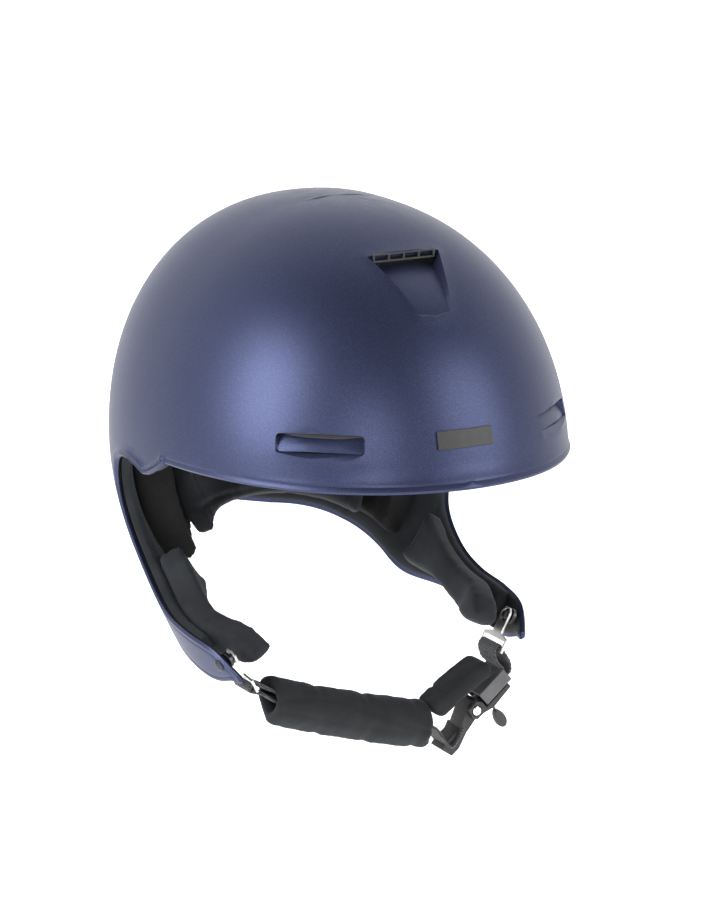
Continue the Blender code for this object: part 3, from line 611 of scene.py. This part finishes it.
def bead_share(place):
    """Weight of the raised double bead along the rim: full over the ear arch, none on the brim and flap."""
    run = (place - ARCH_FIRST) / (ARCH_LAST - ARCH_FIRST)
    return smooth(run / 0.012) * (1 - smooth((run - 0.30) / 0.26))


def rim_relief(away, place):
    """Height of the shell's skin above its plain surface near the rim: rolled edge, bead and parting line."""
    rolled = -0.0012 * (1 - smooth(away / 0.0011)) ** 1.5
    ridge = 0.0011 * smooth(away / 0.0006) * (1 - smooth((away - 0.0036) / 0.0014))
    groove = -0.00075 * bump_at(away, 0.0022, 0.0007)
    bead = bead_share(place)
    line = -0.00035 * bump_at(away, 0.0029, 0.0008) * (1 - bead)
    return rolled + (ridge + groove) * bead + line


def shell_half():
    """Vertices, faces and materials of the left half of the shell's outer skin."""
    top = [Vector((ARCS[-1] * (1 - step / 8), UP_SCALE)) for step in range(9)]
    front_up = [Vector((0.0, RIM[0].y + (UP_SCALE - RIM[0].y) * step / 110)) for step in range(1, 110)]
    back_up = [Vector((ARCS[-1], RIM[-1].y + (UP_SCALE - RIM[-1].y) * step / 90)) for step in range(1, 90)]
    outline = RIM + back_up + top + front_up[::-1]
    bands = []
    for step in EDGE_STEPS:
        moved = [spot for spot in inset_line(RIM, step, False)]
        kept = near_line(np.array([tuple(spot) for spot in moved]), RIM)[0] > step * 0.93
        run = []
        for spot, good in zip(moved, kept):
            inside = 0.0002 < spot.x < ARCS[-1] - 0.0002
            if good and inside:
                run.append(spot)
            elif run:
                bands.append(run)
                run = []
        bands.append(run)
    slots = [slot_outline(0.0), slot_outline(0.0007)]
    scoops = [scoop_outline(0.0), scoop_outline(-0.0008)]
    rooms = [(outline, True, 0.0004), (RIM, False, EDGE_STEPS[-1] + 0.0009)]
    rooms += [(line, True, 0.0007) for line in slots] + [(line, False, 0.0007) for line in scoops]
    points = [tuple(spot) for spot in outline]
    edges = [(index, (index + 1) % len(outline)) for index in range(len(outline))]
    for line, closed in [(run, False) for run in bands if len(run) > 2] + [(run, True) for run in slots] + [
            (run, False) for run in scoops]:
        first = len(points)
        points += [tuple(spot) for spot in line]
        edges += [(first + index, first + index + 1) for index in range(len(line) - 1)]
        if closed:
            edges.append((len(points) - 1, first))
    points += [tuple(spot) for spot in sheet_points([tuple(spot) for spot in outline], rooms)]
    flat, _, faces, *_ = delaunay_2d_cdt([Vector(spot) for spot in points], edges, [], 1, 1e-7)
    return np.array([tuple(spot) for spot in flat]), faces, slots, scoops


def plain_height(spot):
    """Height of the plain dome at a flat place, and -1 for a place under the dome's widest line."""
    theta, level = from_flat(spot)
    return outside(theta, level).z if level > 0 else -1.0


def shell_skin():
    flat, faces, slots, scoops = shell_half()
    away, place = near_line(flat, RIM)
    in_slot = inside_line(flat, slots[1]) | (near_line(flat, slots[1], True)[0] < 1e-5)
    scoop_ring = scoops[1] + [Vector((-0.001, scoops[1][-1].y)), Vector((-0.001, scoops[1][0].y))]
    in_scoop = inside_line(flat, scoop_ring) | (near_line(flat, scoops[1])[0] < 1e-5)
    slot_edge = near_line(flat, slots[0], True)[0]
    scoop_edge = near_line(flat, scoops[0])[0]
    work = bmesh.new()
    heights = []
    for index, spot in enumerate(flat):
        theta, level = from_flat(spot)
        base = outside(theta, level)
        lift = flare(theta, base.z)
        lift += rim_relief(away[index], place[index]) if away[index] < 0.008 else 0.0
        if in_slot[index]:
            lift -= slot_depth(base.z)
        elif slot_edge[index] < 0.0040 and away[index] > 0.008:
            lift += 0.0004 * bump_at(slot_edge[index], 0.0012, 0.0022) * (base.z < SLOT_BOTTOM + 0.001)
        if in_scoop[index]:
            lift -= scoop_depth(base.y)
        elif scoop_edge[index] < 0.0050:
            lift += 0.0005 * (1 - smooth(scoop_edge[index] / 0.0050))
        spot3 = base + outward(theta, level) * lift
        heights.append((in_slot[index], in_scoop[index], base.y))
        work.verts.new(spot3)
    work.verts.ensure_lookup_table()
    for face in faces:
        inner_slot = [heights[v][0] for v in face]
        inner_scoop = [heights[v][1] for v in face]
        high = all(plain_height(flat[v]) > SLOT_TOP - 0.0030 for v in face)
        slot_wall = any(inner_slot) and not all(inner_slot) and high
        rear = all(heights[v][2] > SCOOP_REAR - 0.0022 for v in face)
        scoop_wall = any(inner_scoop) and not all(inner_scoop) and rear
        if slot_wall or scoop_wall:
            continue
        try:
            work.faces.new([work.verts[v] for v in face])
        except ValueError:
            continue
    loose = [vert for vert in work.verts if not vert.link_faces]
    bmesh.ops.delete(work, geom=loose, context="VERTS")
    mirrored = bmesh.ops.duplicate(work, geom=work.verts[:] + work.edges[:] + work.faces[:])["geom"]
    copies = [part for part in mirrored if isinstance(part, bmesh.types.BMVert)]
    bmesh.ops.scale(work, vec=(-1, 1, 1), verts=copies)
    bmesh.ops.reverse_faces(work, faces=[part for part in mirrored if isinstance(part, bmesh.types.BMFace)])
    bmesh.ops.remove_doubles(work, verts=work.verts, dist=3e-5)
    crown = [vert for vert in work.verts if vert.co.z > CROWN_HEIGHT - 0.0016]
    bmesh.ops.remove_doubles(work, verts=crown, dist=0.0017)
    bmesh.ops.recalc_face_normals(work, faces=work.faces)
    return finish_mesh("painted_shell", work)


def build_shell():
    mesh = shell_skin()
    top = max(mesh.vertices, key=lambda vert: vert.co.z)
    if top.normal.z < 0:
        mesh.flip_normals()
    shell = new_piece("painted_shell", mesh, PAINT, "helmet", 34)
    wall = shell.modifiers.new("Wall", "SOLIDIFY")
    wall.thickness = SHELL_WALL
    wall.offset = -1
    wall.use_even_offset = False
    wall.material_offset = 1
    shell.data.materials.append(BLACK)
    applied(shell)
    shell.data.shade_smooth()
    shell.data.set_sharp_from_angle(angle=math.radians(34))
    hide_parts("outer_shell", "vent_scoop")


def lining_depth(away, spot):
    """Thickness of the fabric lining: rolled edge at the rim, seams, and thin beside the strap hanger."""
    rise = clamp(away / 0.0080)
    full = 0.0062 * math.sqrt(max(1 - (1 - rise) ** 2, 0.0))
    theta = math.atan2(spot.y, spot.x)
    for middle in (-0.06, 0.42, 0.98, 1.36):
        full -= 0.0017 * bump_at(theta, middle, 0.020) * rise
    full -= 0.0015 * bump_at(spot.z, -0.043, 0.0016) * rise * (spot.y < 0.0)
    hanger = smooth(1.6 - abs(spot.y - STRAP_Y) / 0.011) * smooth((-0.050 - spot.z) / 0.007)
    return max(full * (1 - hanger) + field.noise(spot * 70) * 0.0004 * rise, 0.0005)


def build_lining():
    """Fabric lining of each flap and half of the nape, sewn close to the shell's rim."""
    flat, faces, _, _ = shell_half()
    away, _ = near_line(flat, RIM)
    skins = []
    for index, spot in enumerate(flat):
        theta, level = from_flat(spot)
        place = outside(theta, level)
        lift = outward(theta, level) * flare(theta, place.z)
        fits = away[index] > 0.0010 and place.z < 0.027 and place.y > -0.085
        fits = fits and not (place.z < -0.060 and abs(place.y - STRAP_Y) < 0.013)
        back_skin = at_depth(theta, level, SHELL_WALL + 0.0003) + lift
        front_skin = at_depth(theta, level, SHELL_WALL + 0.0003 + lining_depth(away[index], place)) + lift
        skins.append((fits, back_skin, front_skin))
    for side, sign in (("left", 1), ("right", -1)):
        work = bmesh.new()
        layers = [[work.verts.new((skin[part].x * sign, skin[part].y, skin[part].z)) for skin in skins]
                  for part in (1, 2)]
        chosen = [face for face in faces if all(skins[corner][0] for corner in face)]
        edges = {}
        for face in chosen:
            for first, second in zip(face, face[1:] + face[:1]):
                edges[frozenset((first, second))] = edges.get(frozenset((first, second)), 0) + 1
            work.faces.new([layers[0][corner] for corner in face])
            work.faces.new([layers[1][corner] for corner in reversed(face)])
        for face in chosen:
            for first, second in zip(face, face[1:] + face[:1]):
                if edges[frozenset((first, second))] == 1:
                    work.faces.new([layers[0][second], layers[0][first], layers[1][first], layers[1][second]])
        bmesh.ops.delete(work, geom=[vert for vert in work.verts if not vert.link_faces], context="VERTS")
        bmesh.ops.recalc_face_normals(work, faces=work.faces)
        name = f"flap_lining_{side}"
        piece = new_piece(name, finish_mesh(name, work, 1e-6), FABRIC, "helmet", 70)
        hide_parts(f"flap_liner_{side}")


# Camera, lights and floor.

def add_camera():
    turn = math.radians(-29.30)
    rise = math.radians(14.39)
    roll = math.radians(-0.65)
    distance = 2.0
    back = Vector((math.sin(turn) * math.cos(rise), -math.cos(turn) * math.cos(rise), math.sin(rise)))
    right = Vector((math.cos(turn), math.sin(turn), 0))
    up = back.cross(right)
    across = right * math.cos(roll) - up * math.sin(roll)
    above = right * math.sin(roll) + up * math.cos(roll)
    aim = Vector((0, 0, -SEAT_HEIGHT)) + across * 0.0135 + above * 0.0151
    data = bpy.data.cameras.new("camera")
    data.sensor_width = 36
    data.lens = 160.2
    camera = bpy.data.objects.new("camera", data)
    bpy.context.scene.collection.objects.link(camera)
    axes = Matrix((across, above, back)).transposed().to_4x4()
    camera.matrix_world = Matrix.Translation(aim + back * distance) @ axes
    bpy.context.scene.camera = camera
    return back, right, up, aim


def add_light(name, spot, aim, power, size, tall=None, colour=(1, 1, 1)):
    data = bpy.data.lights.new(name, "AREA")
    data.energy = power
    data.shape = "RECTANGLE"
    data.size = size
    data.size_y = tall or size
    data.color = colour
    lamp = bpy.data.objects.new(name, data)
    bpy.context.scene.collection.objects.link(lamp)
    lamp.location = spot
    lamp.rotation_euler = (Vector(spot) - Vector(aim)).to_track_quat("Z", "Y").to_euler()


def build_studio():
    back, right, up, aim = add_camera()
    world = bpy.data.worlds.new("studio")
    world.use_nodes = True
    world.node_tree.nodes["Background"].inputs["Color"].default_value = (1, 1, 1, 1)
    world.node_tree.nodes["Background"].inputs["Strength"].default_value = 0.10
    bpy.context.scene.world = world
    add_light("left_box", aim + back * 0.75 - right * 1.0 + up * 0.35, aim, 21, 0.60, 0.9)
    add_light("right_box", aim + back * 0.65 + right * 1.15 + up * 0.30, aim, 11, 0.50, 0.9)
    add_light("front_box", aim + back * 1.7 + right * 0.10 + up * 0.10, aim, 9, 0.7, 0.5)
    floor_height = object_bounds()[0][2] - 0.30
    work = bmesh.new()
    bmesh.ops.create_grid(work, x_segments=1, y_segments=1, size=30)
    mesh = bpy.data.meshes.new("studio_floor")
    work.to_mesh(mesh)
    work.free()
    floor = bpy.data.objects.new("studio_floor", mesh)
    floor.location = (0, 0, floor_height)
    bpy.context.scene.collection.objects.link(floor)
    pale = material("pale_floor", (0.95, 0.95, 0.95), 0.9)
    shader = pale.node_tree.nodes["Principled BSDF"]
    shader.inputs["Emission Color"].default_value = (1, 1, 1, 1)
    shader.inputs["Emission Strength"].default_value = 0.72
    mesh.materials.append(pale)
    wall = bpy.data.objects.new("studio_wall", mesh)
    wall.location = aim - Vector((back.x, back.y, 0)).normalized() * 4
    wall.rotation_euler = Vector((back.x, back.y, 0)).to_track_quat("Z", "Y").to_euler()
    bpy.context.scene.collection.objects.link(wall)
    bpy.context.scene.view_settings.view_transform = "Standard"


# Pieces that follow their frame solid: rounded mouldings, webbing and stuffed fabric.

def solid_copy(node):
    """The frame solid's surface as a new mesh, in the helmet's own heights."""
    source = bpy.data.objects[node]
    mesh = source.data.copy()
    mesh.transform(Matrix.Translation((0, 0, SEAT_HEIGHT)) @ source.matrix_world)
    mesh.materials.clear()
    return mesh


def moulded(node, name, finish, body, edge, segments=3, sharp=38):
    """Hard part with its true edges rolled over by a small radius."""
    mesh = solid_copy(node)
    work = bmesh.new()
    work.from_mesh(mesh)
    bmesh.ops.remove_doubles(work, verts=work.verts, dist=1e-6)
    bmesh.ops.dissolve_limit(work, angle_limit=math.radians(1.0), verts=work.verts, edges=work.edges)
    mesh = finish_mesh(name, work, 1e-6)
    for face in mesh.polygons:
        face.material_index = 0
    piece = new_piece(name, mesh, finish, body, sharp)
    bevel = piece.modifiers.new("Edge", "BEVEL")
    bevel.width = edge
    bevel.segments = segments
    bevel.limit_method = "ANGLE"
    bevel.angle_limit = math.radians(28)
    bevel.use_clamp_overlap = True
    bevel.harden_normals = True
    applied(piece)
    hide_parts(node)
    return piece


BAR_X = 0.069442
BAR_HEIGHT = -0.085108
PIN_SPOT = Vector((0.0566, -0.1150))
BUCKLE_RISE = math.radians(40.5)
WEBBING_WIDTH = 0.0160
WEBBING_WALL = 0.0014


def buckle(along, out):
    """Point of the buckle, given along its length and outward from the pin."""
    length = Vector((math.cos(BUCKLE_RISE), math.sin(BUCKLE_RISE)))
    return PIN_SPOT + length * along + Vector((length.y, -length.x)) * out


def strap_loop(name, node, body, points):
    """Webbing bent along a line in the strap's plane: rounded edges and a slight ripple along its length, with
    capped ends.
    """
    line = smooth_line([Vector(point) for point in points], 90)
    half = WEBBING_WIDTH / 2
    wall = WEBBING_WALL / 2
    corner = half - 0.0004
    selvedge = half - 0.0011
    upper = [(-corner, wall), (-selvedge, wall), (0, wall), (selvedge, wall), (corner, wall), (half, 0.0)]
    ring = upper + [(-across, -out) for across, out in upper]
    work = bmesh.new()
    rings = []
    for index, spot in enumerate(line):
        before = line[max(index - 1, 0)]
        after = line[min(index + 1, len(line) - 1)]
        way = (Vector(after) - Vector(before)).normalized()
        side = Vector((-way.y, way.x))
        wave_move = 0.00012 * math.sin(index * 1.7)
        rings.append([work.verts.new((spot[0] + side.x * (out + wave_move), STRAP_Y + across,
                                      spot[1] + side.y * (out + wave_move))) for across, out in ring])
    for first, second in zip(rings, rings[1:]):
        for step in range(len(ring)):
            following = (step + 1) % len(ring)
            work.faces.new([first[step], first[following], second[following], second[step]])
    work.faces.new(rings[0])
    work.faces.new(rings[-1][::-1])
    bmesh.ops.recalc_face_normals(work, faces=work.faces)
    piece = new_piece(name, finish_mesh(name, work, 1e-6), WEBBING, body, 60)
    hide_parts(node)


def build_webbing():
    left = Vector((BAR_X, BAR_HEIGHT))
    right = Vector((-BAR_X, BAR_HEIGHT))
    strap_loop("webbing_loop_left", "webbing_left", "strap_left",
               [buckle(0.0150, -0.0012), buckle(0.0215, -0.0016), buckle(0.0262, -0.0008),
                left + Vector((0.0064, -0.0075)), left + Vector((0.0026, -0.0012)), left + Vector((0, 0.0024)),
                left + Vector((-0.0026, -0.0004)), left + Vector((-0.0010, -0.0062)),
                left + Vector((0.0022, -0.0098)), buckle(0.0225, -0.0040), buckle(0.0150, -0.0036)])
    strap_loop("webbing_loop_right", "webbing_right", "strap_right",
               [(-0.0300, -0.1045), (-0.0440, -0.0990), (-0.0560, -0.0945), (-0.0640, -0.0890),
                right + Vector((0.0012, -0.0024)), right + Vector((-0.0024, -0.0008)),
                right + Vector((-0.0008, 0.0026)), right + Vector((0.0038, 0.0006)), (-0.0560, -0.0895),
                (-0.0440, -0.0950), (-0.0240, -0.1020), (0.0030, -0.1120), (0.0310, -0.1195),
                buckle(-0.022, 0.004), buckle(-0.0105, 0.0020)])


def relaxed(work, rounds, share=0.5):
    for _ in range(rounds):
        bmesh.ops.smooth_vert(work, verts=work.verts, factor=share, use_axis_x=True, use_axis_y=True,
                              use_axis_z=True)


def stuffed(node, name, finish, body, voxel, rounds, swell, shape=None):
    """Padded piece: the solid remeshed, relaxed into a crowned form, swelled, then seamed and creased."""
    mesh = solid_copy(node)
    piece = new_piece(name, mesh, finish, body, 180)
    remesh = piece.modifiers.new("Grid", "REMESH")
    remesh.mode = "VOXEL"
    remesh.voxel_size = voxel
    applied(piece)
    work = bmesh.new()
    work.from_mesh(piece.data)
    relaxed(work, rounds)
    work.normal_update()
    moves = []
    for vert in work.verts:
        spot = vert.co + Vector((0, 0, SEAT_HEIGHT))
        lift = swell + (shape(spot, vert.normal) if shape else 0.0)
        moves.append(vert.normal * lift)
    for vert, move in zip(work.verts, moves):
        vert.co += move
    relaxed(work, 1, 0.3)
    work.to_mesh(piece.data)
    work.free()
    piece.data.materials.clear()
    piece.data.materials.append(finish)
    for face in piece.data.polygons:
        face.material_index = 0
        face.use_smooth = True
    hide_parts(node)
    return piece


def channel(value, middle, half, deep):
    """A sewn channel: a narrow valley with puffed shoulders."""
    shoulder = bump_at(value, middle + 2.2 * half, 1.6 * half)
    return 0.35 * deep * shoulder - deep * bump_at(value, middle, half)


def crease(spot, scale, deep, stretch=(1, 1, 1)):
    place = Vector((spot.x * stretch[0], spot.y * stretch[1], spot.z * stretch[2])) * scale
    return deep * field.noise(place)


def ear_pad_shape(spot, normal):
    """Cross seam at the ear and an upper seam on the wearer's side, with small creases all over."""
    inner = clamp(-normal.x * math.copysign(1, spot.x))
    cross = channel(spot.z, -0.043 + 0.25 * (spot.y + 0.03), 0.0011, 0.0014)
    upper = channel(spot.z, 0.004 - 0.3 * (spot.y + 0.03), 0.0011, 0.0012)
    return inner * (cross + upper) + crease(spot, 70, 0.0005) + crease(spot, 190, 0.00018)


def nape_shape(spot, normal):
    inner = clamp(-(normal.y * spot.y + normal.x * spot.x) / max(math.hypot(spot.x, spot.y), 1e-6) + 0.4)
    theta = math.atan2(spot.y, spot.x)
    rows = channel(spot.z, -0.022, 0.0012, 0.0016) + channel(spot.z, -0.052, 0.0012, 0.0016)
    posts = sum(-0.0015 * bump_at(theta, BACK + step, 0.016) for step in (-0.62, -0.22, 0.22, 0.62))
    return inner * (rows + posts) + crease(spot, 60, 0.0006)


def plain_pad_shape(spot, normal):
    return crease(spot, 65, 0.0005) + crease(spot, 170, 0.0002)


def foam_shape(spot, normal):
    return crease(spot, 40, 0.0002)


def backing_shape(spot, normal):
    """Backing pad: full across its width, with a small fold where it meets the sleeve."""
    fold = -0.0009 * bump_at(spot.x, 0.0405, 0.0016) * clamp(normal.z + 0.4)
    return 0.0016 * (1 - abs(normal.y)) + fold + crease(spot, 150, 0.0003)


def sleeve_shape(spot, normal):
    """Scalloped padding of the chin sleeve, pinched at even steps, with fine creases across it."""
    step = 0.027
    place = (spot.x + 0.058) / step
    pinch = abs((place % 1.0) - 0.5) * 2
    rim = clamp(abs(normal.z))
    folds = crease(spot, 95, 0.0004, (1.6, 0.6, 0.5)) + crease(spot, 260, 0.00015, (1.6, 0.6, 0.6))
    lip = 0.0030 * smooth((-normal.z - 0.45) / 0.55)
    sag = -0.0007 * bump_at(spot.z + 0.0035 * math.sin(spot.x * 55), -0.1085 - 0.29 * spot.x, 0.0016)
    return lip + sag - 0.0007 * smooth((pinch - 0.70) / 0.30) * rim + folds


def fabric_pad(node, name, voxel, rounds, shape):
    swell = 0.0007 if node == "nape_pad" else 0.0006
    stuffed(node, name, FABRIC, "helmet", voxel, rounds, swell, shape)


def build_pads():
    fabric_pad("brow_pad", "brow_pad_fabric", 0.0018, 9, plain_pad_shape)
    fabric_pad("crown_pad", "crown_pad_fabric", 0.0022, 9, plain_pad_shape)
    fabric_pad("nape_pad", "nape_pad_fabric", 0.0018, 12, nape_shape)
    for side in ("left", "right"):
        fabric_pad(f"side_pad_{side}", f"side_pad_fabric_{side}", 0.0016, 9, plain_pad_shape)
        fabric_pad(f"ear_pad_{side}", f"ear_pad_fabric_{side}", 0.0015, 12, ear_pad_shape)
    stuffed("impact_liner", "foam_liner", FOAM, "helmet", 0.0022, 3, 0.0, foam_shape)
    stuffed("chin_sleeve", "chin_sleeve_fabric", SLEEVE_FABRIC, "strap_right", 0.0012, 9,
            0.0011, sleeve_shape)
    stuffed("buckle_backing_pad", "backing_pad_fabric", SLEEVE_FABRIC, "strap_left", 0.0009, 7,
            0.0008, backing_shape)


def build_hardware():
    for side in ("left", "right"):
        moulded(f"strap_hanger_{side}", f"hanger_plate_{side}", STEEL, f"hanger_{side}", 0.00025)
        moulded(f"strap_rivet_{side}", f"domed_rivet_{side}", DARK_METAL, "helmet", 0.0006, 4)
        moulded(f"rivet_washer_{side}", f"rivet_ring_{side}", DARK_METAL, "helmet", 0.0003)
        moulded(f"slot_screen_{side}", f"slot_plate_{side}", BLACK, "helmet", 0.0002)
    build_webbing()
    moulded("vent_grille", "vent_grate", BLACK, "helmet", 0.0003)
    moulded("front_badge", "plain_badge", BLACK, "helmet", 0.0003)
    moulded("buckle_housing", "housing_moulding", GREY, "strap_left", 0.0006)
    moulded("buckle_tongue", "tongue_moulding", BLACK, "strap_right", 0.0005)
    moulded("buckle_magnet", "catch_magnet", DARK_METAL, "strap_right", 0.0002)
    moulded("buckle_pin", "pin_bar", BRIGHT, "strap_right", 0.0004)
    moulded("cam_lever", "lever_moulding", BLACK, "lever", 0.0005)
    moulded("release_slider", "slider_moulding", BLACK, "slider", 0.0003)
    moulded("pull_cord", "pull_cord_thread", WEBBING, "pull", 0.0002)
    moulded("pull_tab", "pull_drop", RUBBER, "pull", 0.0010, 4)


build_studio()
build_shell()
build_lining()
build_pads()
build_hardware()
